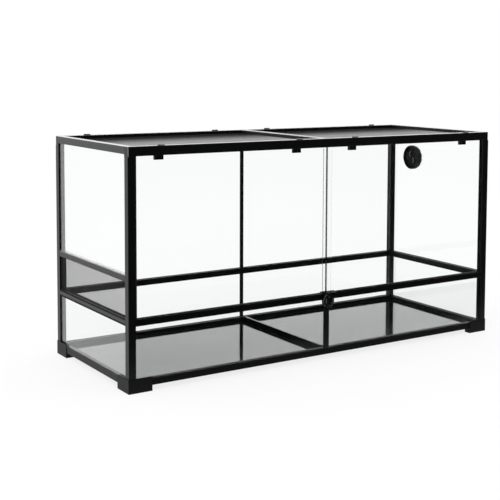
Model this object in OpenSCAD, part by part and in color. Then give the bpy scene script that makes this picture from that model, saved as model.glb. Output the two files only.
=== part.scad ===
// Glass terrarium in a framework of extruded rails, with sliding front doors and lift-off mesh lids.
// Origin: middle of the base at the feet's undersides. +X to the right, +Y to the back, +Z up.

/* [Case] */
// Width over the corner posts
case_w = 1191; // [900:1:1500]
// Depth over the corner posts
case_d = 454; // [360:1:600]
// Height of the top of the frame above the floor
case_h = 607; // [480:1:750]
// Height of the undersides of the middle rails
mid_z = 166; // [130:1:220]
// Height of the underside of the left vent rail
vent_z = 276; // [250:1:340]
// Gap under the base rails
foot_rise = 14; // [8:1:25]

/* [Profiles] */
// Width of a corner post, seen from the front
post_w = 20; // [20:1:30]
// Depth of a corner post, seen from the side
post_d = 20; // [20:1:30]
// Depth of the rails
rail_d = 20; // [20:1:28]
// Height of the base and middle rails
rail_h = 17; // [16:0.5:24]
// Height of the left vent rail
vent_rail_h = 16; // [15:0.5:24]
// Height of the side and rear top rails
top_rail_h = 19.5; // [18:0.5:26]
// Height of the front top rail, which holds the upper door track
front_top_h = 24; // [21:0.5:30]
// Wall of the hollow profiles
wall = 2; // [1.5:0.1:2.5]
// Chamfer along the edges of the profiles
edge = 0.8; // [0.3:0.1:1.2]
// Width of the bar between the two rear panes
rear_bar_w = 10; // [8:1:20]
// Depth of the bar between the two rear panes
rear_bar_d = 8; // [8:1:12]
// Width of the bar between the two lower front panes
front_bar_w = 16; // [12:1:24]
// Depth of the bar between the two lower front panes
front_bar_d = 8; // [8:1:12]
// Width of the floor and top cross rails
cross_w = 20; // [16:1:30]
// Height of the top cross rail
cross_h = 11; // [8:1:16]

/* [Glass] */
// Thickness of the panes
glass_t = 4; // [3:0.5:5]
// Gap between glass and its groove, on every side
glass_play = 0.3; // [0.2:0.05:0.5]
// Thickness of the lip in front of a groove
lip = 2.5; // [1.5:0.1:3]
// Depth of a glazing groove
groove = 6; // [4:0.5:6]
// Height of the floor panes above the undersides of the base rails
floor_up = 2; // [1:0.5:4]

/* [Doors] */
// Side gap of a door in its track
door_play = 0.5; // [0.3:0.1:0.8]
// Gap between a door's lower edge and the floor of its track
door_seat = 0.3; // [0.2:0.1:0.5]
// Thickness of the web between the two tracks
track_web = 1.6; // [1.2:0.1:2]
// Depth of the upper track
track_up = 9; // [8:0.5:10]
// How far a door reaches into the upper track
door_top = 3; // [2:0.5:3]
// Place of the front door's free edge, right of the middle
meet_x = -2.4; // [-12:0.2:6]
// How far one door overlaps the other
door_lap = 22; // [14:1:40]
// How far the seal strips stand out of the posts
seal_w = 3; // [2.5:0.5:5]
// Thickness of the outer seal strips
seal_t = 1.5; // [1:0.1:2]

/* [Door catches] */
// Length of a catch along the door's edge
catch_w = 28; // [20:1:36]
// Height of a catch
catch_h = 5; // [4:0.5:10]
// Thickness of the catch plates
catch_t = 1.2; // [0.8:0.1:1.6]
// Gap between a catch and the rail under it
catch_gap = 0.8; // [0.5:0.1:1.5]

/* [Lock] */
// Place of the lock, right of the middle
lock_x = 1; // [-1:0.5:3]
// Diameter of the lock's drum
lock_d = 38; // [36:1:44]
// Thickness of the drum
drum_t = 6.4; // [5.8:0.1:8]
// Wall of the drum
drum_wall = 1.3; // [1:0.1:1.5]
// Diameter of the turning knob
knob_d = 26; // [20:1:32]
// Thickness of the knob's disc
knob_t = 2.6; // [2:0.1:4]
// Height of the knob's grip
grip_t = 1.6; // [1:0.1:3]
// Distance of the drive pin from the knob's axis
pin_r = 6; // [5:0.1:6.5]
// Width of the bolt's tongue
tongue_w = 8; // [5:0.5:8]
// Gap between the raised tongue and the door's catch
tongue_play = 0.6; // [0.3:0.1:1]
// Running gap of the knob's shaft and pin
run_gap = 0.08; // [0.05:0.01:0.1]

/* [Lids] */
// Height of a lid's frame
lid_h = 10; // [8:0.5:12]
// Width of a lid frame's members
lid_bar = 12; // [9:1:20]
// Thickness of the rails' upper lip around the lids
lid_lip = 6; // [5:0.5:8]
// Gap around each lid
lid_play = 1; // [0.5:0.1:2]
// Thickness of the woven mesh
mesh_t = 0.8; // [0.8:0.1:1.6]
// How far the mesh reaches into its frame
mesh_in = 5; // [3:0.5:6]

/* [Latches] */
// Distance of the inner latches from the middle of the case
latch_near = 93; // [60:1:160]
// Distance of the outer latches from the ends of the case
latch_out = 91.5; // [70:0.5:160]
// Length of a latch
latch_l = 20; // [18:1:34]
// Thickness of a latch
latch_t = 2.4; // [1.8:0.2:4]
// Gap between a latch and what it turns over
latch_gap = 0.3; // [0.2:0.1:0.5]
// Diameter of the latch screws
pivot_d = 2.5; // [2:0.1:2.8]
// Length of a latch screw inside the rail
pivot_l = 7; // [5:0.5:8]
// How far a keeper hangs below the top rail
keeper_drop = 12; // [7:0.5:16]
// Width of a keeper
keeper_w = 24; // [18:1:34]

/* [Feet] */
// Length of a foot's arms
foot_arm = 63; // [40:1:90]
// Height of a foot's outer skirt
foot_h = 37; // [30:1:50]
// How far a foot stands out of the posts
foot_proud = 1.5; // [1:0.1:3]
// Height of the plugs in the posts
plug = 24; // [12:1:40]

/* [Cable port] */
// Distance of the port's axis from the rear face of the case
port_back = 117; // [80:1:180]
// Distance of the port's axis below the top of the case
port_drop = 101; // [80:1:160]
// Diameter of the port's flange
port_d = 77; // [70:1:90]
// Diameter of the hole in the glass
port_hole = 62; // [54:1:66]
// Width of the port's outer ring round the hole
nut_rim = 5.5; // [4:0.5:7]
// How far the flange stands into the case
port_in = 12; // [10:0.5:16]
// Diameter of a cable hole
cable_d = 10; // [8:0.5:12]
// Distance of the cable holes from the port's axis
cable_r = 16; // [14:0.5:18]
// Diameter of the shutter's pivot
hub_d = 6; // [4:0.5:8]
// How far the hub's head stands out round the pivot
hub_lip = 2.2; // [1.5:0.1:3]

/* [Hidden] */
$fn = 64;
inner_w = case_w - 2 * post_w;
inner_d = case_d - 2 * post_d;
slot_w = glass_t + 2 * glass_play;
track_w = glass_t + 2 * door_play;
track2 = lip + track_w + track_web;
base_top = foot_rise + rail_h;
mid_top = mid_z + rail_h;
grip = groove - glass_play;
pane_out = lip + glass_play;
chamber = lip + slot_w + wall;
ledge_z = case_h - lid_h - latch_gap;
cap_h = front_top_h + 1;
chamber_x = post_w - groove - 2 * wall;
chamber_y = post_d - groove - 2 * wall;
plug_gap = 0.2;
floor_t = glass_t;
floor_z = foot_rise + floor_up;
floor_groove = floor_t + 2 * glass_play;
door_z0 = mid_top - groove + door_seat;
door_z1 = case_h - front_top_h + door_top;
post_in = case_w / 2 - post_w;
rear_door_x1 = meet_x + door_lap;
catch_z = mid_top + catch_gap;
lock_z = mid_top - lock_d / 2 - 1;
knob_turn = 90;
shaft_d = 4;
pin_d = 2;
bolt_t = 1.8;
bolt_travel = 2 * pin_r * sin(knob_turn / 2);
bolt_gap = 0.3;
cavity_t = bolt_t + 2 * bolt_gap;
bolt_half = pin_r + pin_d / 2 + 3;
fork_low = 11;
fork_high = 3;
tongue_x = meet_x - tongue_play - tongue_w - lock_x;
tongue_top = sqrt(lock_d * lock_d / 4 - tongue_x * tongue_x) - 0.5;
strike_reach = drum_wall + cavity_t + 0.8;
latch_w = lid_lip - 1;
latch_y = latch_w / 2 + 0.5;
latch_shift = (latch_l - latch_w) / 2;
latch_far = case_w / 2 - latch_out;
latch_at = [-latch_far, -latch_near, latch_near, latch_far];
head_t = 1;
head_d = pivot_d + 1.8;
fit_gap = 0.05;
cap_bevel = 3;
port_x = case_w / 2 - pane_out - glass_t;
port_y = case_d / 2 - port_back;
port_z = case_h - port_drop;
hub_head = 1.2;
top_groove = min(groove, top_rail_h - lid_h - wall);
slots_top = max(case_h - top_rail_h + top_groove, case_h - front_top_h + track_up);
bar_out = pane_out - glass_play - wall;
bar_grip = (rear_bar_w - wall) / 2 - glass_play;
front_bar_grip = (front_bar_w - wall) / 2 - glass_play;
top_grip = top_groove - glass_play;
door_end = post_in + groove - glass_play - door_play;
lid_x0 = lid_play / 2;
lid_x1 = case_w / 2 - lid_lip - lid_play;
lid_y = case_d / 2 - lid_lip - lid_play;
lid_z = ledge_z + latch_gap / 2;
frame_h = case_h - lid_z - latch_gap / 2;
rim_t = 5;
dish_t = 3;
shutter_t = 3.5;
thread_t = 2.5;
side_black = [0.09, 0.09, 0.1];

module black() { color(side_black) children(); }
module glass() { color([0.85, 0.93, 0.93, 0.3]) children(); }

// Puts a wall's parts in place: local x runs along the wall, y inwards from its outer face.
module front_wall() { translate([0, -case_d / 2, 0]) children(); }
module rear_wall() { mirror([0, 1, 0]) front_wall() children(); }
module left_wall() { translate([-case_w / 2, 0, 0]) rotate(-90) children(); }
module right_wall() { translate([case_w / 2, 0, 0]) rotate(90) children(); }

// Mirrors a part from the front left corner to another corner.
module corner(sx, sy) { mirror([sx > 0 ? 1 : 0, 0, 0]) mirror([0, sy > 0 ? 1 : 0, 0]) children(); }

// A rectangle with its four corners cut off.
module cut_rect(w, h, c = edge) {
    polygon([[c, 0], [w - c, 0], [w, c], [w, h - c], [w - c, h], [c, h], [0, h - c], [0, c]]);
}

// Carries a section (y inwards, z up) along a wall.
module along(length) { rotate([90, 0, 90]) linear_extrude(length, center = true) children(); }

// Section of a rail that holds glass above or below, with a hollow chamber behind the glass.
module rail_section(h, above = true, below = true, floor_slot = false) {
    difference() {
        cut_rect(rail_d, h);
        if (above) translate([lip, h - groove]) square([slot_w, groove + 1]);
        if (below) translate([lip, -1]) square([slot_w, groove + 1]);
        if (floor_slot)
            translate([rail_d - groove, floor_up]) square([groove + 1, floor_groove]);
        else
            translate([chamber, wall]) square([rail_d - chamber - wall, h - 2 * wall]);
    }
}

// Section of a top rail: glass below, and a ledge inside its upper lip for the lids.
module top_section(h) {
    difference() {
        cut_rect(rail_d, h);
        translate([lid_lip, h - case_h + ledge_z]) square([rail_d, lid_h + 1]);
        translate([lip, -1]) square([slot_w, top_groove + 1]);
    }
}

// Section of the front top rail, with two deep door tracks open below.
module front_top_section() {
    difference() {
        cut_rect(rail_d, front_top_h);
        translate([lid_lip, front_top_h - case_h + ledge_z]) square([rail_d, lid_h + 1]);
        for (y = [lip, track2]) translate([y, -1]) square([track_w, track_up + 1]);
    }
}

// Section of the front middle rail: two door tracks above, one fixed pane below.
module front_mid_section() {
    difference() {
        cut_rect(rail_d, rail_h);
        for (y = [lip, track2]) translate([y, rail_h - groove]) square([track_w, groove + 1]);
        translate([lip, -1]) square([slot_w, groove + 1]);
        translate([chamber, wall])
            square([rail_d - chamber - wall, rail_h - groove - 2 * wall]);
    }
}

// Plan of a corner post's grooves: one for the side wall, and one or two for the front or rear.
// The second one lines up with the rear door's track.
module post_slots(door_side) {
    translate([lip, post_d - groove]) square([slot_w, groove + 1]);
    translate([post_w - groove, lip]) square([groove + 1, door_side ? track_w : slot_w]);
    if (door_side) translate([post_w - groove, track2]) square([groove + 1, track_w]);
}

// Plan of a corner post, with its grooves and a hollow chamber.
module post_section(door_side) {
    difference() {
        cut_rect(post_w, post_d);
        post_slots(door_side);
        translate([wall, wall]) square([chamber_x, chamber_y]);
    }
}

module post(door_side) {
    black() translate([-case_w / 2, -case_d / 2, foot_rise])
        linear_extrude(case_h - cap_h - foot_rise) post_section(door_side);
}

module front_left_post() { corner(-1, -1) post(true); }
module front_right_post() { corner(1, -1) post(true); }
module rear_left_post() { corner(-1, 1) post(false); }
module rear_right_post() { corner(1, 1) post(false); }

// Plug that fits a post's chamber, standing up from z = 0.
module post_plug() {
    translate([wall + plug_gap, wall + plug_gap, 0])
        cube([chamber_x - 2 * plug_gap, chamber_y - 2 * plug_gap, plug]);
}

// Corner cap on top of a post: chamfered outer edge, lid ledge inside, plug below.
// The post's grooves run on into it, because the panes reach up to the rails' grooves.
module cap(door_side) {
    z0 = case_h - cap_h;
    b = cap_bevel;
    translate([-case_w / 2, -case_d / 2, z0]) {
        difference() {
            linear_extrude(cap_h) polygon([[b, 0], [post_w, 0], [post_w, post_d], [0, post_d], [0, b]]);
            translate([lid_lip, lid_lip, ledge_z - z0]) cube([post_w, post_d, lid_h + 1]);
            translate([0, 0, -1]) linear_extrude(slots_top - z0 + 1) post_slots(door_side);
            translate([0, 0, cap_h]) rotate([45, 0, 0]) cube([3 * post_w, edge, edge], center = true);
            translate([0, 0, cap_h]) rotate([0, 45, 0]) cube([edge, 3 * post_d, edge], center = true);
        }
        translate([0, 0, -plug]) post_plug();
    }
}

module top_corner_caps() {
    black() for (sx = [-1, 1], sy = [-1, 1]) corner(sx, sy) cap(sy < 0);
}

// L-shaped foot: it carries the post and both base rails, and its skirt wraps their outer faces.
// The skirt's arms end at the heights given for the front or rear wall and for the side wall.
module foot(wall_h, side_h) {
    p = foot_proud;
    translate([-case_w / 2, -case_d / 2, 0]) {
        difference() {
            union() {
                linear_extrude(foot_rise) foot_plan(rail_d);
                translate([-p, -p, 0]) cube([foot_arm + p, p, wall_h]);
                translate([-p, -p, 0]) cube([p, foot_arm + p, side_h]);
            }
            translate([-p, -p, 0]) rotate(45) cube([1.6, 1.6, 3 * foot_h], center = true);
            translate([-p, -p, 0]) rotate([45, 0, 0]) cube([3 * foot_arm, edge, edge], center = true);
            translate([-p, -p, 0]) rotate([0, 45, 0]) cube([edge, 3 * foot_arm, edge], center = true);
        }
        translate([0, 0, foot_rise]) post_plug();
    }
}

// Plan of a foot's arms, reaching a given depth inside the posts' outer faces.
module foot_plan(inside) {
    p = foot_proud;
    translate([-p, -p]) {
        square([foot_arm + p, inside + p]);
        square([inside + p, foot_arm + p]);
    }
}

module front_left_foot() { black() corner(-1, -1) foot(foot_h, foot_h); }
module front_right_foot() { black() corner(1, -1) foot(foot_h, base_top); }
module rear_left_foot() { black() corner(-1, 1) foot(base_top, foot_h); }
module rear_right_foot() { black() corner(1, 1) foot(base_top, base_top); }

// Places of the latch screws along a wall, with the side to which each latch points when open.
module at_latches() {
    for (i = [0 : 3]) {
        way = i % 2 == 0 ? 1 : -1;
        translate([latch_at[i] - way * latch_shift, latch_y, case_h]) children();
    }
}
module screw_holes() {
    at_latches() translate([0, 0, -pivot_l - 0.5]) cylinder(d = pivot_d + 2 * fit_gap, h = pivot_l + 1);
}

module front_top_rail() {
    black() front_wall() difference() {
        translate([0, 0, case_h - front_top_h]) along(inner_w) front_top_section();
        screw_holes();
    }
}
module rear_top_rail() {
    black() rear_wall() difference() {
        translate([0, 0, case_h - top_rail_h]) along(inner_w) top_section(top_rail_h);
        screw_holes();
    }
}
module left_top_rail() {
    black() left_wall() translate([0, 0, case_h - top_rail_h]) along(inner_d) top_section(top_rail_h);
}
module right_top_rail() {
    black() right_wall() translate([0, 0, case_h - top_rail_h]) along(inner_d) top_section(top_rail_h);
}

// Bar between the front and rear top rails, under the seam of the lids.
module top_cross_rail() {
    black() translate([-cross_w / 2, -case_d / 2 + rail_d, ledge_z])
        rotate([-90, 0, 0]) linear_extrude(case_d - 2 * rail_d) difference() {
            cut_rect(cross_w, cross_h);
            translate([wall, wall]) square([cross_w - 2 * wall, cross_h - 2 * wall]);
        }
}

module front_mid_rail() { black() front_wall() translate([0, 0, mid_z]) along(inner_w) front_mid_section(); }
module rear_mid_rail() { black() rear_wall() translate([0, 0, mid_z]) along(inner_w) rail_section(rail_h); }
module left_mid_rail() { black() left_wall() translate([0, 0, mid_z]) along(inner_d) rail_section(rail_h); }
module right_mid_rail() { black() right_wall() translate([0, 0, mid_z]) along(inner_d) rail_section(rail_h); }
module left_vent_rail() {
    black() left_wall() translate([0, 0, vent_z]) along(inner_d) rail_section(vent_rail_h);
}

module base_rail(length) {
    translate([0, 0, foot_rise]) along(length) rail_section(rail_h, below = false, floor_slot = true);
}
module front_base_rail() { black() front_wall() base_rail(inner_w); }
module rear_base_rail() { black() rear_wall() base_rail(inner_w); }
module left_base_rail() { black() left_wall() base_rail(inner_d); }
module right_base_rail() { black() right_wall() base_rail(inner_d); }

// Bar across the floor, slotted on both sides for the floor panes.
module floor_cross_rail() {
    black() translate([-cross_w / 2, case_d / 2 - rail_d, foot_rise])
        rotate([90, 0, 0]) linear_extrude(case_d - 2 * rail_d) difference() {
            cut_rect(cross_w, rail_h);
            for (x = [-1, cross_w - groove])
                translate([x, floor_up]) square([groove + 1, floor_groove]);
            translate([wall, floor_up + floor_groove + wall])
                square([cross_w - 2 * wall, rail_h - floor_up - floor_groove - 2 * wall]);
        }
}

// Plan of a bar that joins two panes edge to edge, grooved on both sides.
module bar_section(w, d) {
    difference() {
        cut_rect(w, d);
        for (x = [-1, w - (w - wall) / 2])
            translate([x, wall]) square([(w - wall) / 2 + 1, slot_w]);
    }
}

// Their outer faces stand just inside the rails' lips, so that the panes run straight into them.
module rear_centre_bar() {
    black() rear_wall() for (z = [[base_top, mid_z], [mid_top, case_h - top_rail_h]])
        translate([-rear_bar_w / 2, bar_out, z[0]])
            linear_extrude(z[1] - z[0]) bar_section(rear_bar_w, rear_bar_d);
}
module front_centre_bar() {
    black() front_wall() translate([-front_bar_w / 2, bar_out, base_top])
        linear_extrude(mid_z - base_top) bar_section(front_bar_w, front_bar_d);
}

// A pane in a wall's grooves, from x0 to x1 and z0 to z1, which are the edges of what it shows.
module pane(x0, x1, z0, z1) {
    translate([x0 - grip, pane_out, z0 - grip])
        cube([x1 - x0 + 2 * grip, glass_t, z1 - z0 + 2 * grip]);
}

// A pane whose inner edge stands in a bar and whose outer edge stands in a post.
module half_pane(bar_w, hold, z0, z1, z1_grip = grip) {
    x0 = bar_w / 2 - hold;
    translate([x0, pane_out, z0 - grip])
        cube([inner_w / 2 + grip - x0, glass_t, z1 - z0 + grip + z1_grip]);
}

module rear_upper_right_glass() {
    glass() rear_wall() half_pane(rear_bar_w, bar_grip, mid_top, case_h - top_rail_h, top_grip);
}
module rear_upper_left_glass() { mirror([1, 0, 0]) rear_upper_right_glass(); }
module rear_lower_glass() {
    glass() for (s = [0, 1]) mirror([s, 0, 0]) rear_wall() half_pane(rear_bar_w, bar_grip, base_top, mid_z);
}
module front_lower_glass() {
    glass() for (s = [0, 1]) mirror([s, 0, 0])
        front_wall() half_pane(front_bar_w, front_bar_grip, base_top, mid_z);
}

// Upper pane of a side wall, which stands in the shallower groove of the top rail.
module side_upper_pane(z0) {
    translate([-inner_d / 2 - grip, pane_out, z0 - grip])
        cube([inner_d + 2 * grip, glass_t, case_h - top_rail_h - z0 + grip + top_grip]);
}
module left_upper_glass() { glass() left_wall() side_upper_pane(vent_z + vent_rail_h); }
module side_lower_glass() {
    glass() for (s = [0, 1]) mirror([s, 0, 0]) left_wall() pane(-inner_d / 2, inner_d / 2, base_top, mid_z);
}
module right_upper_glass() {
    glass() difference() {
        right_wall() side_upper_pane(mid_top);
        translate([0, port_y, port_z]) rotate([0, 90, 0]) cylinder(d = port_hole, h = case_w);
    }
}

// Two floor panes, each held in the base rails and the cross rail, notched round the posts.
module floor_glass() {
    x0 = cross_w / 2 - grip;
    x1 = case_w / 2 - rail_d + grip;
    y1 = case_d / 2 - rail_d + grip;
    notch_x = x1 - post_in + glass_play;
    notch_y = y1 - case_d / 2 + post_d + glass_play;
    glass() for (s = [0, 1]) mirror([s, 0, 0]) translate([0, 0, floor_z + glass_play]) difference() {
        translate([x0, -y1, 0]) cube([x1 - x0, 2 * y1, floor_t]);
        for (t = [0, 1]) mirror([0, t, 0])
            translate([x1 - notch_x, y1 - notch_y, -1]) cube([notch_x + 1, notch_y + 1, floor_t + 2]);
    }
}

// Mesh strip of the left wall, in a thin binding that fills the grooves.
module vent_mesh() {
    z0 = mid_top - grip;
    z1 = vent_z + grip;
    l = inner_d + 2 * grip;
    color([0.4, 0.4, 0.42]) left_wall() translate([-l / 2, pane_out, z0]) {
        translate([0, (glass_t - mesh_t) / 2, 0]) cube([l, mesh_t, z1 - z0]);
        for (z = [0, z1 - z0 - grip]) translate([0, 0, z]) cube([l, glass_t, grip]);
    }
}

// Seal strips on the front posts, before, between and behind the doors' grooves.
module door_seals() {
    h = case_h - front_top_h - mid_top;
    black() for (s = [0, 1]) mirror([s, 0, 0]) translate([post_in - seal_w, -case_d / 2, mid_top])
        linear_extrude(h) {
            translate([0, lip - seal_t]) square([seal_w, seal_t]);
            translate([0, lip + track_w]) square([seal_w, track_web]);
            translate([0, track2 + track_w]) square([seal_w, seal_t]);
        }
}

// A door pane that stands in the lower and upper tracks.
module door(x0, x1, y) {
    front_wall() translate([x0, y + door_play, door_z0]) cube([x1 - x0, glass_t, door_z1 - door_z0]);
}
module left_door_glass() { glass() door(-door_end, rear_door_x1, track2); }
module right_door_glass() { glass() door(meet_x, door_end, lip); }

// Plain clip on the inner face of the rear door's free corner.
module left_door_catch() {
    y = track2 + door_play + glass_t;
    color([0.15, 0.15, 0.16]) front_wall() translate([rear_door_x1 - catch_w - 6, y, catch_z]) {
        cube([catch_w + 6, catch_t, 0.6 * catch_h]);
        cube([catch_w + 6, 2.4 * catch_t, catch_t]);
    }
}

// Angled plate on the front door's free corner: the lock's tongue rises beside its shelf.
module right_door_catch() {
    y = lip + door_play;
    color([0.7, 0.7, 0.71]) front_wall() translate([meet_x, 0, catch_z]) {
        translate([0, y - catch_t, 0]) cube([catch_w, catch_t, catch_h]);
        translate([0, -strike_reach, 0]) cube([catch_w, y + strike_reach, catch_t]);
    }
}

// Puts the lock's parts in place: local z points out of the front face, local y up.
module at_lock() { translate([lock_x, -case_d / 2, lock_z]) rotate([90, 0, 0]) children(); }

// Round drum on the front middle rail, hollow for the bolt, with a way out at the top.
module lock_housing() {
    black() at_lock() difference() {
        union() {
            cylinder(d = lock_d, h = drum_t - 1);
            cylinder(d1 = lock_d, d2 = lock_d - 2, h = drum_t);
        }
        translate([0, 0, drum_wall]) cylinder(d = lock_d - 4, h = cavity_t);
        translate([tongue_x - bolt_gap, 0, drum_wall]) cube([tongue_w + 2 * bolt_gap, lock_d, cavity_t]);
        translate([0, 0, drum_wall + 0.1]) cylinder(d = shaft_d + 2 * run_gap, h = drum_t);
        translate([0, 0, drum_wall + cavity_t - 0.1]) cylinder(d = 2 * pin_r + pin_d + 2, h = 0.8);
    }
}

// Knob with a raised grip and a keyway; its shaft carries the pin that drives the bolt.
module lock_knob() {
    face = drum_t + 0.3;
    crank = drum_wall + cavity_t;
    a0 = -knob_turn / 2;
    color([0.12, 0.12, 0.13]) at_lock() difference() {
        union() {
            translate([0, 0, face]) cylinder(d = knob_d, h = knob_t);
            intersection() {
                translate([0, 0, face]) cylinder(d = knob_d - 3, h = knob_t + grip_t);
                translate([-knob_d / 2, -3, face]) cube([knob_d, 6, knob_t + grip_t]);
            }
            translate([0, 0, drum_wall + 0.2]) cylinder(d = shaft_d, h = drum_t);
            translate([0, 0, crank]) cylinder(d = 2 * pin_r + pin_d + 1, h = 0.5);
            translate([pin_r * cos(a0), pin_r * sin(a0), drum_wall + 0.2]) cylinder(d = pin_d, h = cavity_t);
        }
        translate([-0.8, -2.4, face + knob_t]) cube([1.6, 4.8, grip_t + 1]);
    }
}

// Sliding bolt: a fork round the knob's shaft with a tongue above, and a curved slot for the pin.
// The pin runs along (r cos a, r sin a) while the bolt rises in step with the angle a.
module lock_bolt() {
    steps = 12;
    color([0.75, 0.75, 0.76]) at_lock() translate([0, 0, drum_wall + bolt_gap]) difference() {
        union() {
            translate([tongue_x, -fork_low, 0]) cube([bolt_half - tongue_x, fork_low + fork_high, bolt_t]);
            translate([tongue_x, 0, 0]) cube([tongue_w, tongue_top, bolt_t]);
        }
        translate([-shaft_d / 2 - 0.3, -bolt_travel - shaft_d, -1])
            cube([shaft_d + 0.6, bolt_travel + 1.5 * shaft_d + 0.3, bolt_t + 2]);
        for (i = [0 : steps]) {
            a = -knob_turn / 2 + knob_turn * i / steps;
            translate([pin_r * cos(a), pin_r * sin(a) - bolt_travel * i / steps, -1])
                cylinder(d = pin_d + 0.4, h = bolt_t + 2, $fn = 24);
        }
    }
}

// Right lid's frame, between the rails' lips and the other lid, rebated below for the mesh.
module right_lid_frame() {
    w = lid_x1 - lid_x0;
    in = lid_bar - mesh_in;
    black() translate([lid_x0, -lid_y, lid_z]) difference() {
        cube([w, 2 * lid_y, frame_h]);
        translate([lid_bar, lid_bar, -1]) cube([w - 2 * lid_bar, 2 * (lid_y - lid_bar), frame_h + 2]);
        translate([in - glass_play, in - glass_play, -1])
            cube([w - 2 * (in - glass_play), 2 * (lid_y - in + glass_play), mesh_t + 1]);
    }
}
module right_lid_mesh() {
    in = lid_bar - mesh_in;
    color([0.4, 0.4, 0.42]) translate([lid_x0 + in, -lid_y + in, lid_z])
        cube([lid_x1 - lid_x0 - 2 * in, 2 * (lid_y - in), mesh_t]);
}
module left_lid_frame() { mirror([1, 0, 0]) right_lid_frame(); }
module left_lid_mesh() { mirror([1, 0, 0]) right_lid_mesh(); }

// Turn latch on the rail's lip, shown open: turned inwards it covers the lid's frame.
module latch(i) {
    way = i % 2 == 0 ? 1 : -1;
    bore = pivot_d + 2 * run_gap;
    color([0.14, 0.14, 0.15]) front_wall()
        translate([latch_at[i] - way * latch_shift, latch_y, case_h + latch_gap]) difference() {
            mirror([way > 0 ? 0 : 1, 0, 0]) union() {
                cylinder(d = latch_w, h = latch_t);
                translate([0, -latch_w / 2, 0]) cube([latch_l - latch_w, latch_w, latch_t]);
                translate([latch_l - latch_w, 0, 0]) cylinder(d = latch_w, h = latch_t);
            }
            translate([0, 0, -1]) cylinder(d = bore, h = latch_t + 2);
            translate([0, 0, latch_t - head_t]) cylinder(d1 = bore, d2 = head_d + 2 * run_gap, h = head_t);
            translate([0, 0, latch_t]) cylinder(d = head_d + 2 * run_gap, h = 1);
        }
}
module front_latch_1() { latch(0); }
module front_latch_2() { latch(1); }
module front_latch_3() { latch(2); }
module front_latch_4() { latch(3); }
module rear_latch_1() { mirror([0, 1, 0]) latch(0); }
module rear_latch_2() { mirror([0, 1, 0]) latch(1); }
module rear_latch_3() { mirror([0, 1, 0]) latch(2); }
module rear_latch_4() { mirror([0, 1, 0]) latch(3); }

// Countersunk screws that the latches turn on, with a driver slot.
module latch_screws() {
    neck = pivot_l + latch_gap + latch_t - head_t;
    color([0.3, 0.3, 0.31]) for (s = [0, 1]) mirror([0, s, 0]) front_wall() at_latches()
        translate([0, 0, -pivot_l]) difference() {
            union() {
                cylinder(d = pivot_d, h = neck);
                translate([0, 0, neck]) cylinder(d1 = pivot_d, d2 = head_d, h = head_t);
            }
            translate([-0.3, -head_d, neck + head_t - 0.4]) cube([0.6, 2 * head_d, 1]);
        }
}

// Angled keepers clipped under the front and rear top rails, below each latch.
module keeper(rail_height) {
    t = 3;
    z0 = case_h - rail_height - keeper_drop;
    y0 = track2 + track_w + 0.6;
    front_wall() translate([-keeper_w / 2, 0, z0]) {
        translate([0, rail_d, 0]) cube([keeper_w, t, ledge_z - z0 - 1]);
        translate([0, y0, 0]) cube([keeper_w, rail_d - y0 + 0.5, keeper_drop]);
    }
}
module latch_keepers() {
    black() for (x = latch_at) translate([x, 0, 0]) {
        keeper(front_top_h);
        mirror([0, 1, 0]) keeper(top_rail_h);
    }
}

// Puts the port's parts in place: local z points out of the case, local y up.
module at_port() {
    translate([port_x, port_y, port_z]) rotate([90, 0, 90]) children();
}

// Flange inside the glass: a rounded rim round a dish with cable holes, a sleeve through the glass
// and a hub with a head, which the shutter turns on.
module port_flange() {
    r = port_d / 2;
    hub_end = dish_t + shutter_t + 2 * latch_gap;
    sleeve_r = port_hole / 2 - glass_play;
    black() at_port() difference() {
        rotate_extrude() {
            translate([r - rim_t, -port_in + 2]) square([rim_t, port_in - 2]);
            translate([r - rim_t / 2 - 0.5, -port_in + 2]) circle(r = 2);
            translate([0, -dish_t]) square([r - 1, dish_t]);
            translate([sleeve_r - thread_t, -0.5]) square([thread_t, glass_t + pane_out + 0.5]);
            translate([0, -hub_end]) square([hub_d / 2, hub_end]);
            translate([0, -hub_end - hub_head]) square([hub_d / 2 + hub_lip, hub_head]);
        }
        for (a = [90, 270]) rotate(a) translate([cable_r, 0, -dish_t - 1])
            cylinder(d = cable_d, h = dish_t + 2);
    }
}

// Turning shutter in the flange, with two cable openings and an S-shaped grip.
module port_shutter() {
    r = port_d / 2 - rim_t - 0.5;
    rib = 2;
    bend = cable_r * 0.62;
    color([0.12, 0.12, 0.13]) at_port() translate([0, 0, -dish_t - latch_gap - shutter_t]) difference() {
        union() {
            cylinder(r = r, h = shutter_t);
            for (s = [0, 180]) rotate(s) translate([0, bend, -2]) rotate_extrude(angle = 200, start = -100)
                translate([bend - rib / 2, 0]) square([rib, 2.5]);
        }
        translate([0, 0, -3]) cylinder(d = hub_d + 2 * run_gap, h = shutter_t + 4);
        translate([0, 0, -3]) cylinder(d = hub_d + 2 * hub_lip + 1, h = 3);
        for (a = [90, 270]) rotate(a) translate([cable_r, 0, -3]) 
            cylinder(d = cable_d + 1, h = shutter_t + 4);
    }
}

// Ring that holds the sleeve from outside, with grip notches.
module port_nut() {
    notches = 12;
    nut_d = port_hole + 2 * nut_rim;
    black() at_port() translate([0, 0, glass_t + 0.1]) difference() {
        cylinder(d = nut_d, h = lip);
        translate([0, 0, -1]) cylinder(d = port_hole - 0.4, h = lip + 2);
        for (i = [0 : notches - 1]) rotate(i * 360 / notches)
            translate([nut_d / 2, 0, -1]) cylinder(d = 4, h = lip + 2);
    }
}

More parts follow.
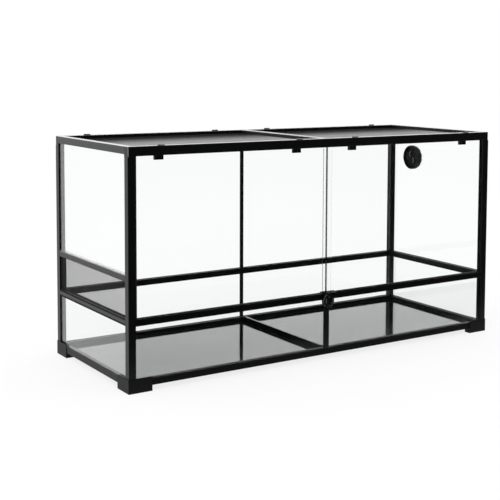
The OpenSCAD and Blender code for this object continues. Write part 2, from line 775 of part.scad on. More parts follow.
front_left_post();
front_right_post();
rear_left_post();
rear_right_post();
rear_centre_bar();
front_centre_bar();
top_corner_caps();
front_left_foot();
front_right_foot();
rear_left_foot();
rear_right_foot();
front_top_rail();
rear_top_rail();
left_top_rail();
right_top_rail();
top_cross_rail();
front_mid_rail();
rear_mid_rail();
left_mid_rail();
right_mid_rail();
left_vent_rail();
front_base_rail();
rear_base_rail();
left_base_rail();
right_base_rail();
floor_cross_rail();
rear_upper_left_glass();
rear_upper_right_glass();
rear_lower_glass();
left_upper_glass();
right_upper_glass();
side_lower_glass();
front_lower_glass();
floor_glass();
vent_mesh();
door_seals();
left_door_glass();
right_door_glass();
left_door_catch();
right_door_catch();
lock_housing();
lock_knob();
lock_bolt();
left_lid_frame();
right_lid_frame();
left_lid_mesh();
right_lid_mesh();
latch_keepers();
latch_screws();
front_latch_1();
front_latch_2();
front_latch_3();
front_latch_4();
rear_latch_1();
rear_latch_2();
rear_latch_3();
rear_latch_4();
port_flange();
port_shutter();
port_nut();
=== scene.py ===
import bpy
import math
import numpy as np
from mathutils import Matrix, Vector


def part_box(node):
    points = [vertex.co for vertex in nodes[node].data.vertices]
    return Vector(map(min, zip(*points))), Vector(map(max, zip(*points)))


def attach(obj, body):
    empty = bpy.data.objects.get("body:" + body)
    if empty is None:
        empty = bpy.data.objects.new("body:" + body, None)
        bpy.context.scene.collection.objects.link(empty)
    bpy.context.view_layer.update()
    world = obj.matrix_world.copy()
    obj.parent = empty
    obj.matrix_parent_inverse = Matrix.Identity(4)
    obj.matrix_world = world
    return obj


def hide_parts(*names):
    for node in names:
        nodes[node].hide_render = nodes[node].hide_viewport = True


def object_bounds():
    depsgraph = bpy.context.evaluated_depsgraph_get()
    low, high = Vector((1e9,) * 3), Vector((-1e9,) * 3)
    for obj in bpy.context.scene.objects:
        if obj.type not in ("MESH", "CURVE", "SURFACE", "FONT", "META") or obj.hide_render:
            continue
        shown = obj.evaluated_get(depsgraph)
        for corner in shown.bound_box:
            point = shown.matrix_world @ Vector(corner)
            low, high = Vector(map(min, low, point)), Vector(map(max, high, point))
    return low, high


# A long glass terrarium in black extruded rails, on a white studio floor.

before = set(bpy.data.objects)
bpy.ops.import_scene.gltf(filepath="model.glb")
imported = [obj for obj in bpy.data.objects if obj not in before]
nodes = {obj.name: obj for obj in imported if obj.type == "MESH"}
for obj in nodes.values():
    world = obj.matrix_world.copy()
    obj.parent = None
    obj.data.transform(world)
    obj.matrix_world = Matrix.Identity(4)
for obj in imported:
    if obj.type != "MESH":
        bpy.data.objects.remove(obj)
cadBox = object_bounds()
print("loaded", len(nodes), "nodes")

camera = dict(
    place=(-1.7176, -2.5783, 0.8065),  # metres, in the terrarium's own frame
    yaw=33.834,  # degrees from +Y towards +X
    pitch=-4.541,
    roll=0.326,
    focal=1079.4,  # in pixels
    centre=(285, 149.9),  # pixel on the camera's own axis
    picture=500,  # width and height in pixels
    sensor=36,
    clip=(0.05, 100),
)


def makeCamera(c):
    data = bpy.data.cameras.new("studioCamera")
    data.sensor_width = c["sensor"]
    data.lens = c["focal"] / c["picture"] * c["sensor"]
    data.shift_x = 0.5 - c["centre"][0] / c["picture"]
    data.shift_y = c["centre"][1] / c["picture"] - 0.5
    data.clip_start, data.clip_end = c["clip"]
    eye = bpy.data.objects.new("studioCamera", data)
    bpy.context.scene.collection.objects.link(eye)
    # the camera looks along its own -Z: roll first, then up to the horizon, then round to the side
    yaw, pitch, roll = (math.radians(c[angle]) for angle in ("yaw", "pitch", "roll"))
    turn = Matrix.Rotation(-yaw, 3, "Z") @ Matrix.Rotation(math.pi / 2 + pitch, 3, "X")
    eye.rotation_euler = (turn @ Matrix.Rotation(roll, 3, "Z")).to_euler()
    eye.location = c["place"]
    bpy.context.scene.camera = eye


makeCamera(camera)
bpy.context.scene.view_settings.view_transform = "Standard"
print("camera ready")


# shader sums
class Wire:
    # wraps an output socket, so that + - * build Math nodes
    def __init__(self, mat, socket):
        self.mat = mat
        self.socket = socket

    def maths(self, operation, *others):
        return self.mat.node("ShaderNodeMath", {"operation": operation}, dict(enumerate((self,) + others)))

    def __add__(self, other):
        return self.maths("ADD", other)

    __radd__ = __add__

    def __mul__(self, other):
        return self.maths("MULTIPLY", other)

    __rmul__ = __mul__

    def __sub__(self, other):
        return self.maths("SUBTRACT", other)

    def __rsub__(self, other):
        return self.mat.node("ShaderNodeMath", {"operation": "SUBTRACT"}, {0: other, 1: self})


class Finish:
    # a node material: node() adds any node, and fixed values are set on the sockets
    def __init__(self, name, tree=None):
        if tree is None:
            self.material = bpy.data.materials.new(name)
            self.material.use_nodes = True
            tree = self.material.node_tree
        self.tree = tree
        tree.nodes.clear()

    def node(self, kind, settings=None, inputs=None, output=0):
        # output names one socket, or several in a tuple
        made = self.tree.nodes.new(kind)
        for key, value in (settings or {}).items():
            setattr(made, key, value)
        for key, value in (inputs or {}).items():
            if isinstance(value, Wire):
                self.tree.links.new(value.socket, made.inputs[key])
            else:
                made.inputs[key].default_value = value
        if isinstance(output, tuple):
            return [Wire(self, made.outputs[name]) for name in output]
        return Wire(self, made.outputs[output]) if made.outputs else None

    def objectPlace(self):
        return self.node("ShaderNodeTexCoord", output="Object")

    def axes(self, place=None):
        # the three coordinates of a place on the object, each as a number
        return self.node("ShaderNodeSeparateXYZ", {}, {0: place or self.objectPlace()}, ("X", "Y", "Z"))

    def noise(self, scale, detail, stretch=(1, 1, 1)):
        place = self.node("ShaderNodeMapping", {}, {"Vector": self.objectPlace(), "Scale": stretch})
        return self.node("ShaderNodeTexNoise", {}, {"Vector": place, "Scale": scale, "Detail": detail}, "Fac")

    def fade(self, value, start, end, first=0.0, last=1.0, kind="SMOOTHSTEP"):
        # first before start, last beyond end, and a change from one to the other between them
        return self.node("ShaderNodeMapRange", {"interpolation_type": kind},
                         {0: value, 1: start, 2: end, 3: first, 4: last})

    def rayKinds(self):
        # 1 for rays from the camera that at most pass through glass, and 1 for those with a mirror bounce
        bounces, fromCamera, passed = self.node(
            "ShaderNodeLightPath", output=("Glossy Depth", "Is Camera Ray", "Is Transmission Ray"))
        mirrored = bounces.maths("MINIMUM", 1.0)
        return fromCamera.maths("MAXIMUM", passed) * (1 - mirrored), mirrored

    def mixColour(self, amount, first, second):
        first, second = (c if isinstance(c, Wire) else c + (1,) for c in (first, second))
        return self.node("ShaderNodeMix", {"data_type": "RGBA"}, {0: amount, 6: first, 7: second}, 2)

    def bump(self, height, look):
        sockets = {"Height": height, "Strength": look["relief"], "Distance": look["deep"]}
        return self.node("ShaderNodeBump", {}, sockets, "Normal")

    def surface(self, **sockets):
        values = {key.replace("_", " "): value for key, value in sockets.items()}
        shader = self.node("ShaderNodeBsdfPrincipled", {}, values)
        self.node("ShaderNodeOutputMaterial", {}, {"Surface": shader})
        return self.material


extrusion = dict(
    dark=(0.0004, 0.0004, 0.0005),
    light=(0.0012, 0.0012, 0.0014),
    slow=(6.0, 3.0),  # scale and detail of the change between the two tones
    rough=0.45,
    vary=0.1,
    peel=(1400.0, 2.0),  # scale and detail of the orange peel
    drawn=(900.0, 1.0),  # and of the draw lines
    along=(0.02, 1, 1),  # small along the bar's own way
    lineRough=0.04,
    lineDeep=0.3,  # the draw lines' share of the relief
    relief=0.1,
    deep=0.0003,
    gloss=0.12,
)
moulding = dict(extrusion, dark=(0.001, 0.001, 0.0012), light=(0.0025, 0.0025, 0.0028), rough=0.36, vary=0.12,
                peel=(900.0, 2.0), along=(1, 1, 1), relief=0.2, gloss=0.15)
sealing = dict(moulding, dark=(0.006, 0.006, 0.006), light=(0.01, 0.01, 0.01), rough=0.6, gloss=0.3)
upright = dict(extrusion, rough=0.28, gloss=0.3, along=(1, 1, 0.02))
sideways = dict(extrusion, rough=0.36, gloss=0.45, along=(1, 0.02, 1))
lowSide = dict(sideways, gloss=0.2)


def powderCoat(name, look):
    # fine orange-peel bump, a slow change of roughness and faint draw lines along the bar
    f = Finish(name)
    peel = f.noise(*look["peel"])
    slow = f.noise(*look["slow"])
    drawn = f.noise(*look["drawn"], look["along"])
    return f.surface(
        Base_Color=f.mixColour(slow, look["dark"], look["light"]),
        Roughness=look["rough"] + slow * look["vary"] + drawn * look["lineRough"],
        Normal=f.bump(peel + drawn * look["lineDeep"], look),
        Specular_IOR_Level=look["gloss"])


# the rims and lids carry a satin lacquer on their top faces, which catches the light from above
topBar = dict(
    extrusion,
    rough=0.36,
    gloss=0.3,
    satin=0.26,  # roughness of the lacquer
    shine=1.8,
    skin=0.0007,
    seam=0.0,  # half width of the bare strip at the middle of the length
    edge=0.0,  # width of the painted highlight along the corner edge
    # colour of the painted highlight on the caps' outer corner edge
    cornerHighlight=(0.2, 0.2, 0.2),
    skirt=0.0015,  # how far the feet stand out past the posts
)
topSide = dict(topBar, gloss=0.45, satin=0.2, shine=2.4)
topCap = dict(topBar, shine=2.0, edge=0.0022)
lidBar = dict(topBar, seam=0.0035)
ventBar = dict(topSide, satin=0.12, shine=2.6)
latchBlack = dict(topBar, dark=(0.02, 0.02, 0.021), light=(0.045, 0.045, 0.047), satin=0.3, shine=1.6)


def lacquered(name, look, topAt):
    # black with a clear coat on all that lies within a skin of the top level,
    # but not on the matt black edge where the two lids meet
    f = Finish(name)
    peel = f.noise(*look["peel"])
    slow = f.noise(*look["slow"])
    colour = f.mixColour(slow, look["dark"], look["light"])
    x, y, z = f.axes()
    if look["edge"]:
        # painted highlight on the corner edge, where both distances from the middle are within the edge's
        # width of the outer faces
        sideReach = cadBox[1][0] - look["skirt"]
        frontReach = -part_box("front_top_rail")[0].y
        nearSide = x.maths("ABSOLUTE").maths("GREATER_THAN", sideReach - look["edge"])
        nearFront = y.maths("ABSOLUTE").maths("GREATER_THAN", frontReach - look["edge"])
        colour = f.mixColour(nearFront * nearSide, colour, look["cornerHighlight"])
    onTop = z.maths("GREATER_THAN", topAt - look["skin"])
    offSeam = x.maths("ABSOLUTE").maths("GREATER_THAN", look["seam"])
    return f.surface(
        Base_Color=colour, Roughness=look["rough"] + slow * look["vary"], Normal=f.bump(peel, look),
        Specular_IOR_Level=look["gloss"], Coat_Weight=onTop * offSeam, Coat_Roughness=look["satin"],
        Coat_IOR=look["shine"])


crossBar = dict(extrusion, rough=0.6, gloss=0.0, skin=0.0007, beadFrom=0.003, satin=0.08, shine=1.55)


def sealedBar(name, look, topAt):
    # black, with a smooth clear bead of sealant along the right-hand part of the bar's top
    f = Finish(name)
    slow = f.noise(*look["slow"])
    x, _, z = f.axes()
    onBead = z.maths("GREATER_THAN", topAt - look["skin"]) * x.maths("GREATER_THAN", look["beadFrom"])
    return f.surface(
        Base_Color=f.mixColour(slow, look["dark"], look["light"]),
        Roughness=look["rough"] + slow * look["vary"], Specular_IOR_Level=look["gloss"],
        Coat_Weight=onBead, Coat_Roughness=look["satin"], Coat_IOR=look["shine"])


midSide = dict(sideways, upper=0.003, lower=0.005, matt=0.6)


def mattEdged(name, look, low, high):
    # black, rougher and so darker along the upper and the lower edge of the bar's face
    f = Finish(name)
    peel = f.noise(*look["peel"])
    slow = f.noise(*look["slow"])
    height = f.axes()[2]
    onUpper = height.maths("GREATER_THAN", high.z - look["upper"])
    onLower = height.maths("LESS_THAN", low.z + look["lower"])
    return f.surface(
        Base_Color=f.mixColour(slow, look["dark"], look["light"]),
        Roughness=look["rough"] + slow * look["vary"] + (onUpper + onLower) * look["matt"],
        Normal=f.bump(peel, look), Specular_IOR_Level=look["gloss"])


pane = dict(tint=(1.0, 1.0, 1.0), tint2=(0.99, 1.0, 0.998), index=1.26, drift=(3.0, 1.0))
lowPane = dict(pane, tint=(0.975, 0.985, 0.983), tint2=(0.98, 0.99, 0.987))
leftPane = dict(pane, index=1.52)  # mirrors more, because it is seen at a flat angle
leftLowPane = dict(leftPane, tint=(0.955, 0.972, 0.97), tint2=(0.965, 0.98, 0.976))
# the doors' free edges carry a painted dark line, for the shade of a pane's edge seen end-on
frontDoorPane = dict(pane, edgeWide=0.0027, paintedEdgeShade=(0.015, 0.02, 0.02))
rearDoorPane = dict(pane, edgeWide=0.0004, paintedEdgeShade=(0.85, 0.9, 0.9))


def clearGlass(name, look, edgeAt=None, way=1):
    # clear pane with a faint unevenness of its tint; where edgeAt gives the X of the pane's free edge, a
    # painted dark line within a hair of it stands in for the shade of the edge seen end-on, and way says
    # whether the pane lies towards +X or -X from there
    f = Finish(name)
    tint = f.mixColour(f.noise(*look["drift"]), look["tint"], look["tint2"])
    if edgeAt is not None:
        inward = (f.axes()[0] - edgeAt) * way
        tint = f.mixColour(inward.maths("LESS_THAN", look["edgeWide"]), tint, look["paintedEdgeShade"])
    return f.surface(Base_Color=tint, Roughness=0.0, IOR=look["index"], Transmission_Weight=1.0)


floorPane = dict(dark=(0.005, 0.009, 0.008), light=(0.009, 0.014, 0.013), drift=(4.0, 2.0), rough=0.03,
                 smear=0.03, index=1.55)


def backedGlass(name, look):
    # polished pane with a near-black backing: it mirrors, and has hardly any colour of its own
    f = Finish(name)
    slow = f.noise(*look["drift"])
    return f.surface(Base_Color=f.mixColour(slow, look["dark"], look["light"]),
                     Roughness=look["rough"] + slow * look["smear"], IOR=look["index"])


catchSteel = dict(dark=(0.22, 0.22, 0.225), light=(0.36, 0.36, 0.365), lines=(1500.0, 2.0),
                  along=(0.03, 1, 1), rough=0.3, vary=0.15, relief=0.15, deep=0.0002)
boltSteel = dict(catchSteel, dark=(0.06, 0.06, 0.062), light=(0.12, 0.12, 0.122), along=(1, 1, 0.03))
screwSteel = dict(catchSteel, dark=(0.02, 0.02, 0.021), light=(0.05, 0.05, 0.052), along=(1, 1, 1))


def brushedSteel(name, look):
    # metal with brush lines along one way
    f = Finish(name)
    lines = f.noise(*look["lines"], look["along"])
    return f.surface(Base_Color=f.mixColour(lines, look["dark"], look["light"]),
                     Roughness=look["rough"] + lines * look["vary"], Metallic=1.0,
                     Normal=f.bump(lines, look))


lidWire = dict(
    dark=(0.27, 0.27, 0.275),
    light=(0.39, 0.39, 0.395),
    tones=(220.0, 2.0),
    rough=0.4,
    vary=0.12,
    metal=0.35,
    rearShadeFrom=(-0.06, 0.165),  # Y between which the painted shade towards the rear sets in
    # how far the painted shade darkens the wire, and the colour it darkens to
    rearShadeShare=0.985,
    rearShadeTone=(0.006, 0.006, 0.006),
    rearRough=0.5,
)
ventWire = dict(lidWire, dark=(0.02, 0.02, 0.021), light=(0.04, 0.04, 0.041), rough=0.45, rearShadeShare=0.0)


def meshWire(name, look):
    # coated wire with small changes of tone, and painted shade that turns it black towards the rear, where
    # the frame shades it, by the rear's share
    f = Finish(name)
    tone = f.noise(*look["tones"])
    # painted shade: the wires darken towards the rear, where the frame shades them
    rear = f.fade(f.axes()[1], *look["rearShadeFrom"], 0.0, look["rearShadeShare"])
    colour = f.mixColour(rear, f.mixColour(tone, look["dark"], look["light"]), look["rearShadeTone"])
    return f.surface(Base_Color=colour, Metallic=look["metal"],
                     Roughness=look["rough"] + tone * look["vary"] + rear * look["rearRough"])


# the side colour is painted light on the side towards the doors, over the given width
portRing = dict(moulding, light=(0.003, 0.003, 0.0034), patches=(60.0, 2.0), rough=0.42, gloss=0.08,
                side=(0.035, 0.035, 0.036), sideLightWide=0.028)
# the rib's lighter colour is a painted highlight
portShutter = dict(portRing, side=(0.02, 0.02, 0.021), rib=(0.2, 0.2, 0.205), ribHigh=0.0018, ribSmooth=0.2)
portMiddle = (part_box("port_flange")[0].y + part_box("port_flange")[1].y) / 2


def portFinish(name, look, middle, faceAt=None):
    # moulded black with painted light in patches on the side nearer the doors, and a painted highlight on the
    # rib, whose height reaches from X = faceAt
    f = Finish(name)
    x, y, _ = f.axes()
    patches = f.noise(*look["patches"])
    sideLight = f.fade(y, middle, middle - look["sideLightWide"])
    colour = f.mixColour(sideLight * patches, f.mixColour(patches, look["dark"], look["light"]), look["side"])
    rough = look["rough"]
    if faceAt is not None:
        onRib = x.maths("LESS_THAN", faceAt + look["ribHigh"])
        colour = f.mixColour(onRib, colour, look["rib"])
        rough = rough - onRib * look["ribSmooth"]
    return f.surface(Base_Color=colour, Roughness=rough, Normal=f.bump(f.noise(*look["peel"]), look),
                     Specular_IOR_Level=look["gloss"])


lockBlack = dict(
    moulding,
    rough=0.22,
    vary=0.08,
    peel=(1800.0, 2.0),
    relief=0.06,
    gloss=0.3,
    rims=((0.0112, 0.0014), (0.0172, 0.0012)),  # distance of each rim from the lock's axis, and half width
    patches=(130.0, 1.0),
    highlightPatchy=(0.42, 0.6),  # range of the noise over which the painted highlight sets in
    # colour of the painted highlights on the rims
    rimHighlight=(0.12, 0.12, 0.123),
)
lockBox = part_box("lock_knob")
lockCentre = ((lockBox[0].x + lockBox[1].x) / 2, (lockBox[0].z + lockBox[1].z) / 2)


def lockFinish(name, look, centre):
    # smooth moulded black, with patches of painted highlight on two round rims about the lock's axis,
    # for a rim at r: 1 - |distance from the axis - r| / half width, cut off at 0
    f = Finish(name)
    x, _, z = f.axes()
    x, z = x - centre[0], z - centre[1]
    distance = (x * x + z * z).maths("SQRT")
    slow = f.noise(*look["slow"])
    colour = f.mixColour(slow, look["dark"], look["light"])
    patches = f.fade(f.noise(*look["patches"]), *look["highlightPatchy"], kind="LINEAR")
    for at, width in look["rims"]:
        ring = (1 - (distance - at).maths("ABSOLUTE") * (1 / width)).maths("MAXIMUM", 0.0)
        colour = f.mixColour(ring * patches, colour, look["rimHighlight"])
    return f.surface(Base_Color=colour, Roughness=look["rough"] + slow * look["vary"],
                     Normal=f.bump(f.noise(*look["peel"]), look), Specular_IOR_Level=look["gloss"])


finishes = {
    "rail": powderCoat("railBlack", extrusion),
    "lowSideRail": powderCoat("lowSideBlack", lowSide),
    "post": powderCoat("postBlack", upright),
    "moulding": powderCoat("mouldedBlack", moulding),
    "seal": powderCoat("sealBlack", sealing),
    "topRail": lacquered("topRailBlack", topBar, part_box("front_top_rail")[1].z),
    "topSideRail": lacquered("topSideBlack", topSide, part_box("left_top_rail")[1].z),
    "topCap": lacquered("topCapBlack", topCap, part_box("top_corner_caps")[1].z),
    "ventRail": lacquered("ventRailBlack", ventBar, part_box("left_vent_rail")[1].z),
    "latch": lacquered("latchBlack", latchBlack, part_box("front_latch_1")[1].z),
    "lid": lacquered("lidBlack", lidBar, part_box("left_lid_frame")[1].z),
    "crossRail": sealedBar("crossRailBlack", crossBar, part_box("floor_cross_rail")[1].z),
    "midSideRail": mattEdged("midSideBlack", midSide, *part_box("left_mid_rail")),
    "port": portFinish("portBlack", portRing, portMiddle),
    "shutter": portFinish("shutterBlack", portShutter, portMiddle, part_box("port_shutter")[0].x),
    "lock": lockFinish("lockBlack", lockBlack, lockCentre),
    "glass": clearGlass("clearPane", pane),
    "lowGlass": clearGlass("lowerPane", lowPane),
    "leftGlass": clearGlass("leftPane", leftPane),
    "leftLowGlass": clearGlass("leftLowerPane", leftLowPane),
    "frontDoor": clearGlass("frontDoorPane", frontDoorPane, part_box("right_door_glass")[0].x),
    "rearDoor": clearGlass("rearDoorPane", rearDoorPane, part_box("left_door_glass")[1].x, -1),
    "floor": backedGlass("floorPane", floorPane),
    "catch": brushedSteel("catchSteel", catchSteel),
    "bolt": brushedSteel("boltSteel", boltSteel),
    "screw": brushedSteel("screwSteel", screwSteel),
    "wire": meshWire("meshWire", lidWire),
    "ventWire": meshWire("ventWire", ventWire),
}
finishOfPart = {
    "floor_glass": "floor",
    "left_upper_glass": "leftGlass",
    "side_lower_glass": "leftLowGlass",
    "right_door_glass": "frontDoor",
    "left_door_glass": "rearDoor",
    "right_door_catch": "catch",
    "lock_bolt": "bolt",
    "latch_screws": "screw",
    "door_seals": "seal",
    "port_shutter": "shutter",
    "top_corner_caps": "topCap",
    "front_top_rail": "topRail",
    "rear_top_rail": "topRail",
    "left_base_rail": "lowSideRail",
    "left_vent_rail": "ventRail",
    "left_mid_rail": "midSideRail",
    "floor_cross_rail": "crossRail",
}
# all other parts: the first of these words that the name holds decides
finishOfWord = {
    "lower_glass": "lowGlass",
    "_glass": "glass",
    "lock_": "lock",
    "port_": "port",
    "lid_frame": "lid",
    "_top_rail": "topSideRail",
    "_post": "post",
    "_bar": "post",
    "_latch_": "latch",
    "_rail": "rail",
}


def finishFor(name):
    if name in finishOfPart:
        return finishOfPart[name]
    return next((finish for word, finish in finishOfWord.items() if word in name), "moulding")


def wear(piece, finish):
    material = finishes[finish]
    if not piece.material_slots:
        piece.data.materials.append(material)
    for holder in piece.material_slots:
        holder.material = material


for name, part in nodes.items():
    wear(part, finishFor(name))
print("finishes on", len(nodes), "nodes")


def addMesh(name, points, faces, body, finish):
    data = bpy.data.meshes.new(name)
    data.from_pydata(points, [], faces)
    data.update()
    piece = bpy.data.objects.new(name, data)
    bpy.context.scene.collection.objects.link(piece)
    wear(piece, finish)
    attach(piece, body)
    return piece


# woven mesh
def straightWires(starts, ends, radius, sides=6):
    # one prism for each pair of ends: a ring of points round each end, square to the wire's own axis,
    # at radius * (across * cos(turn) + up * sin(turn))
    starts, ends = np.asarray(starts, float), np.asarray(ends, float)
    run = ends - starts
    run /= np.linalg.norm(run, axis=1)[:, None]
    isUpright = np.abs(run[:, 2:3]) > 0.9
    across = np.cross(run, np.where(isUpright, [[1.0, 0, 0]], [[0, 0, 1.0]]))
    across /= np.linalg.norm(across, axis=1)[:, None]
    up = np.cross(across, run)
    turn = (np.arange(sides) * 2 * math.pi / sides)[None, :, None]
    ring = radius * (across[:, None] * np.cos(turn) + up[:, None] * np.sin(turn))
    points = np.stack([starts[:, None] + ring, ends[:, None] + ring], 1)
    base = np.arange(len(starts))[:, None] * 2 * sides
    here = np.arange(sides)
    following = (here + 1) % sides
    quads = np.stack([base + here, base + sides + here, base + sides + following, base + following], 2)
    firstCaps = base + here
    lastCaps = base + sides + here[::-1]
    return points.reshape(-1, 3), quads.reshape(-1, 4).tolist() + firstCaps.tolist() + lastCaps.tolist()


def wireCloth(corner, wide, tall, first, second, normal, look):
    # two layers of straight wires at an even pitch: one along the second way, one on it along the first
    corner, first, second, normal = (np.asarray(a, float) for a in (corner, first, second, normal))
    a = (np.arange(int(wide / look["pitch"])) + 0.5)[:, None] * look["pitch"]
    b = (np.arange(int(tall / look["pitch"])) + 0.5)[:, None] * look["pitch"]
    lift = normal * 2 * look["radius"]
    starts = np.concatenate([corner + a * first, corner + b * second + lift])
    ends = np.concatenate([corner + a * first + second * tall, corner + b * second + first * wide + lift])
    return straightWires(starts, ends, look["radius"])


lidMesh = dict(pitch=0.0022, radius=0.00019, margin=0.001)


def makeLidMesh(side, look):
    # the upper layer touches the level of the plate's upper face
    low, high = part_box(side + "_lid_mesh")
    m = look["margin"]
    points, faces = wireCloth((low.x + m, low.y + m, high.z - 3 * look["radius"]),
                              high.x - low.x - 2 * m, high.y - low.y - 2 * m,
                              (1, 0, 0), (0, 1, 0), (0, 0, 1), look)
    piece = addMesh(side + "LidWires", points.tolist(), faces, side + "_lid", "wire")
    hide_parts(side + "_lid_mesh")


for side in ("left", "right"):
    makeLidMesh(side, lidMesh)

ventMesh = dict(pitch=0.0022, radius=0.0002, binding=0.0057)


def boxPoints(low, high):
    # the eight corners of a block, and its six faces
    xs, ys, zs = zip(low, high)
    grid = np.array([[x, y, z] for x in xs for y in ys for z in zs])
    faces = np.array([[0, 1, 3, 2], [4, 6, 7, 5], [0, 4, 5, 1], [2, 3, 7, 6], [0, 2, 6, 4], [1, 5, 7, 3]])
    return grid, faces


def makeVent(look):
    # wires over the whole strip, with a flat binding along its lower and its upper edge
    low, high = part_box("vent_mesh")
    points, faces = wireCloth(((low.x + high.x) / 2, low.y, low.z), high.y - low.y, high.z - low.z,
                              (0, 1, 0), (0, 0, 1), (1, 0, 0), look)
    points = points.tolist()
    for bottom, top in ((low.z, low.z + look["binding"]), (high.z - look["binding"], high.z)):
        corners, sides = boxPoints((low.x, low.y, bottom), (high.x, high.y, top))
        faces += (sides + len(points)).tolist()
        points += corners.tolist()
    piece = addMesh("ventWires", points, faces, "case", "ventWire")
    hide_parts("vent_mesh")


makeVent(ventMesh)
print("wire mesh made")

dustStrip = dict(
    out=0.009,  # how far the strip stands out past the pane's free edge
    under=0.0022,  # how far it lies behind the pane
    thick=0.0007,
    bead=0.0007,  # radius of the bead
    beadNeck=2.2,  # where the flat part ends, in radii from the strip's free end
    beadTurn=1.5,  # the bead's arc, in half circles
    bow=0.04,
    foot=0.008,  # bare length of the pane's edge below the strip
    head=0.006,  # and above it
    arc=9,
    rings=24,
)
# the strip's free edge also carries a painted dark line
stripPlastic = dict(pane, tint=(0.98, 0.98, 0.985), tint2=(0.99, 0.99, 0.99), index=1.15, edgeWide=0.0016,
                    paintedEdgeShade=(0.3, 0.3, 0.3))
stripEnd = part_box("right_door_glass")[0].x - dustStrip["out"]
finishes["dustStrip"] = clearGlass("stripPlastic", stripPlastic, stripEnd)


def makeDustStrip(look):
    # translucent strip behind the front door's free edge, which closes the gap between the panes:
    # a flat section with a round bead at its free end, carried up the pane in rings,
    # where the bead bows out by a small share, bow * sin(pi t), over the strip's height t
    low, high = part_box("right_door_glass")
    r, flat = look["bead"], look["thick"]
    turn = np.linspace(-0.5, 0.5, look["arc"]) * look["beadTurn"] * math.pi + math.pi
    neck = look["beadNeck"] * r - look["out"]
    tail = np.array([[look["under"], flat], [0.0, flat], [neck, flat]])
    head = np.array([[neck, 0.0], [0.0, 0.0], [look["under"], 0.0]])
    bead = np.stack([r - look["out"] + r * np.cos(turn), flat / 2 + r * np.sin(turn)], 1)
    section = np.concatenate([tail, bead, head])
    section[:, 1] = np.maximum(section[:, 1], 0.0)
    count = len(section)
    t = np.linspace(0, 1, look["rings"])
    points = np.empty((look["rings"], count, 3))
    points[:, :, 0] = low.x + section[:, 0] * (1 + look["bow"] * np.sin(math.pi * t))[:, None]
    points[:, :, 1] = high.y + section[:, 1]
    points[:, :, 2] = (low.z + look["foot"] + t * (high.z - low.z - look["foot"] - look["head"]))[:, None]
    ring = np.arange(look["rings"] - 1)[:, None] * count
    here = np.arange(count)
    following = (here + 1) % count
    quads = np.stack([ring + here, ring + following, ring + count + following, ring + count + here], 2)
    last = (look["rings"] - 1) * count
    faces = quads.reshape(-1, 4).tolist() + [here[::-1].tolist(), (last + here).tolist()]
    addMesh("dustStrip", points.reshape(-1, 3).tolist(), faces, "right_door", "dustStrip")


makeDustStrip(dustStrip)
print("dust strip made")

cablePlug = dict(
    rim=0.0054,
    neck=0.005,
    taper=0.9,
    lip=0.0011,  # thickness of the flange
    round=(0.0003, 0.0002),  # how far its edge is rounded, above and below
    dome=0.0006,
    domeAt=(0, 0.35, 0.7, 0.92),  # shares of the rim's radius
    domeHigh=(1.0, 0.88, 0.51, 0.15),  # the dome's height there, 1 - share^2, in shares of its full height
    deep=0.0031,
    turn=28,
    away=0.016,  # from the port's axis to a plug's axis
    ribHigh=0.0023,  # from the rib's face back to the plug's flange
)


def makeCablePlugs(look):
    # soft plugs in the shutter's two cable holes: a flanged disc with a shallow dome, a rounded lip and
    # a tapered neck, its profile of depths and radii turned round the hole's axis
    low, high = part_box("port_shutter")
    centre = np.array([low.x + look["ribHigh"], (low.y + high.y) / 2, (low.z + high.z) / 2])
    rim, neck, lip, deep = look["rim"], look["neck"], look["lip"], look["deep"]
    edge, under = look["round"]
    domeRadii = rim * np.array(look["domeAt"])
    domeDepths = look["dome"] * np.array(look["domeHigh"])
    radii = np.concatenate([domeRadii, [rim, rim, neck, look["taper"] * neck, 0]])
    depths = np.concatenate([domeDepths, [-edge, under - lip, -lip, -deep, -deep]])
    angle = np.arange(look["turn"]) * 2 * math.pi / look["turn"]
    ring = np.stack(np.broadcast_arrays(depths[1:-1, None], radii[1:-1, None] * np.cos(angle),
                                        radii[1:-1, None] * np.sin(angle)), 2)
    rings = len(ring)
    shape = np.concatenate([ring.reshape(-1, 3), [[depths[0], 0, 0], [depths[-1], 0, 0]]])
    here = np.arange(look["turn"])
    following = (here + 1) % look["turn"]
    start = np.arange(rings - 1)[:, None] * look["turn"]
    nextStart = start + look["turn"]
    quads = np.stack([start + following, nextStart + following, nextStart + here, start + here], 2)
    firstTip, lastRing = rings * look["turn"], (rings - 1) * look["turn"]
    tips = np.stack([following, here, np.full_like(here, firstTip)], 1)
    ends = np.stack([lastRing + here, lastRing + following, np.full_like(here, firstTip + 1)], 1)
    faces = quads.reshape(-1, 4).tolist() + tips.tolist() + ends.tolist()
    for name, side in (("upperPlug", 1), ("lowerPlug", -1)):
        # the dome faces into the case, along -X
        points = shape * (-1, 1, 1) + centre + (0, 0, side * look["away"])
        addMesh(name, points.tolist(), faces, "port_shutter", "port")


makeCablePlugs(cablePlug)
print("cable plugs made")

studio = dict(
    floorSize=30.0,
    floorTone=0.8,
    floorShow=0.8,  # share of the floor's white that no shadow takes away
    floorGrain=(40.0, 2.0),
    grainTone=0.99,
    frontDark=0.03,  # how bright the side behind the camera is in reflections
    frontTone=0.02,
    backGlow=1.5,  # how bright the far side is in reflections
    around=1.3,
    floorFade=(-0.5, -0.15),  # Y where the floor's mirror image turns from dark to white
    backFade=(-0.55, -0.1),  # the same for the surroundings, as the direction's Y
    topFade=(0.45, 0.8),  # the direction's Z
    glowFade=(0.3, 0.7),
)
lamps = (
    dict(name="softKey", place=(-2.6, -0.6, 3.2), size=(2.2, 1.6), power=18.0),
    dict(name="softFill", place=(2.4, 2.2, 2.6), size=(2.0, 1.6), power=9.0),
)
lampAim = (0, 0, 0.3)


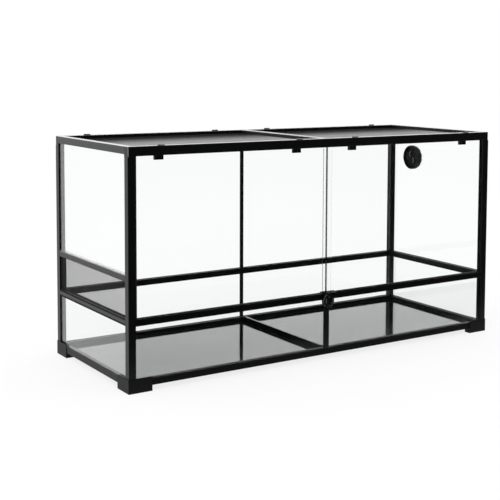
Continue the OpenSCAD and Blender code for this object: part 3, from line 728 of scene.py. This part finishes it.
def makeFloor(s):
    half = s["floorSize"] / 2
    data = bpy.data.meshes.new("studioFloor")
    corners = [(-half, -half, 0), (half, -half, 0), (half, half, 0), (-half, half, 0)]
    data.from_pydata(corners, [], [(0, 1, 2, 3)])
    floor = bpy.data.objects.new("studioFloor", data)
    bpy.context.scene.collection.objects.link(floor)
    f = Finish("studioWhite")
    direct, mirrored = f.rayKinds()
    # in mirror images the floor in front of the terrarium is dark
    behind = f.fade(f.axes()[1], *s["floorFade"], s["frontDark"])
    tone = s["floorTone"]
    colour = f.mixColour(f.noise(*s["floorGrain"]), (tone,) * 3, (tone * s["grainTone"],) * 3)
    shade = f.mixColour(mirrored * (1 - behind), colour, (s["frontTone"],) * 3)
    matt = f.node("ShaderNodeBsdfDiffuse", {}, {"Color": shade})
    glow = f.node("ShaderNodeEmission", {}, {"Color": (1, 1, 1, 1), "Strength": 1.0})
    show = (direct + mirrored * behind) * s["floorShow"]
    both = f.node("ShaderNodeMixShader", {}, {0: show, 1: matt, 2: glow})
    f.node("ShaderNodeOutputMaterial", {}, {"Surface": both})
    data.materials.append(f.material)


def makeWorld(s):
    # white behind, beside and above the terrarium, darker behind the camera
    world = bpy.data.worlds.new("studioWorld")
    bpy.context.scene.world = world
    world.use_nodes = True
    f = Finish("studioWorld", world.node_tree)
    direct, mirrored = f.rayKinds()
    _, ahead, above = f.axes(f.node("ShaderNodeTexCoord", output="Generated"))
    back = f.fade(ahead, *s["backFade"], s["frontDark"])
    top = f.fade(above, *s["topFade"])
    glow = f.fade(ahead, *s["glowFade"], 1.0, s["backGlow"])
    strength = direct + mirrored * back.maths("MAXIMUM", top) * glow + (1 - direct - mirrored) * s["around"]
    light = f.node("ShaderNodeBackground", {}, {"Color": (1, 1, 1, 1), "Strength": strength})
    f.node("ShaderNodeOutputWorld", {}, {"Surface": light})


def makeLamp(look, aim):
    data = bpy.data.lights.new(look["name"], "AREA")
    data.shape = "RECTANGLE"
    data.size, data.size_y = look["size"]
    data.energy = look["power"]
    lamp = bpy.data.objects.new(look["name"], data)
    bpy.context.scene.collection.objects.link(lamp)
    lamp.location = look["place"]
    lamp.rotation_euler = (Vector(aim) - Vector(look["place"])).to_track_quat("-Z", "Y").to_euler()


makeFloor(studio)
makeWorld(studio)
for lamp in lamps:
    makeLamp(lamp, lampAim)
print("studio ready")
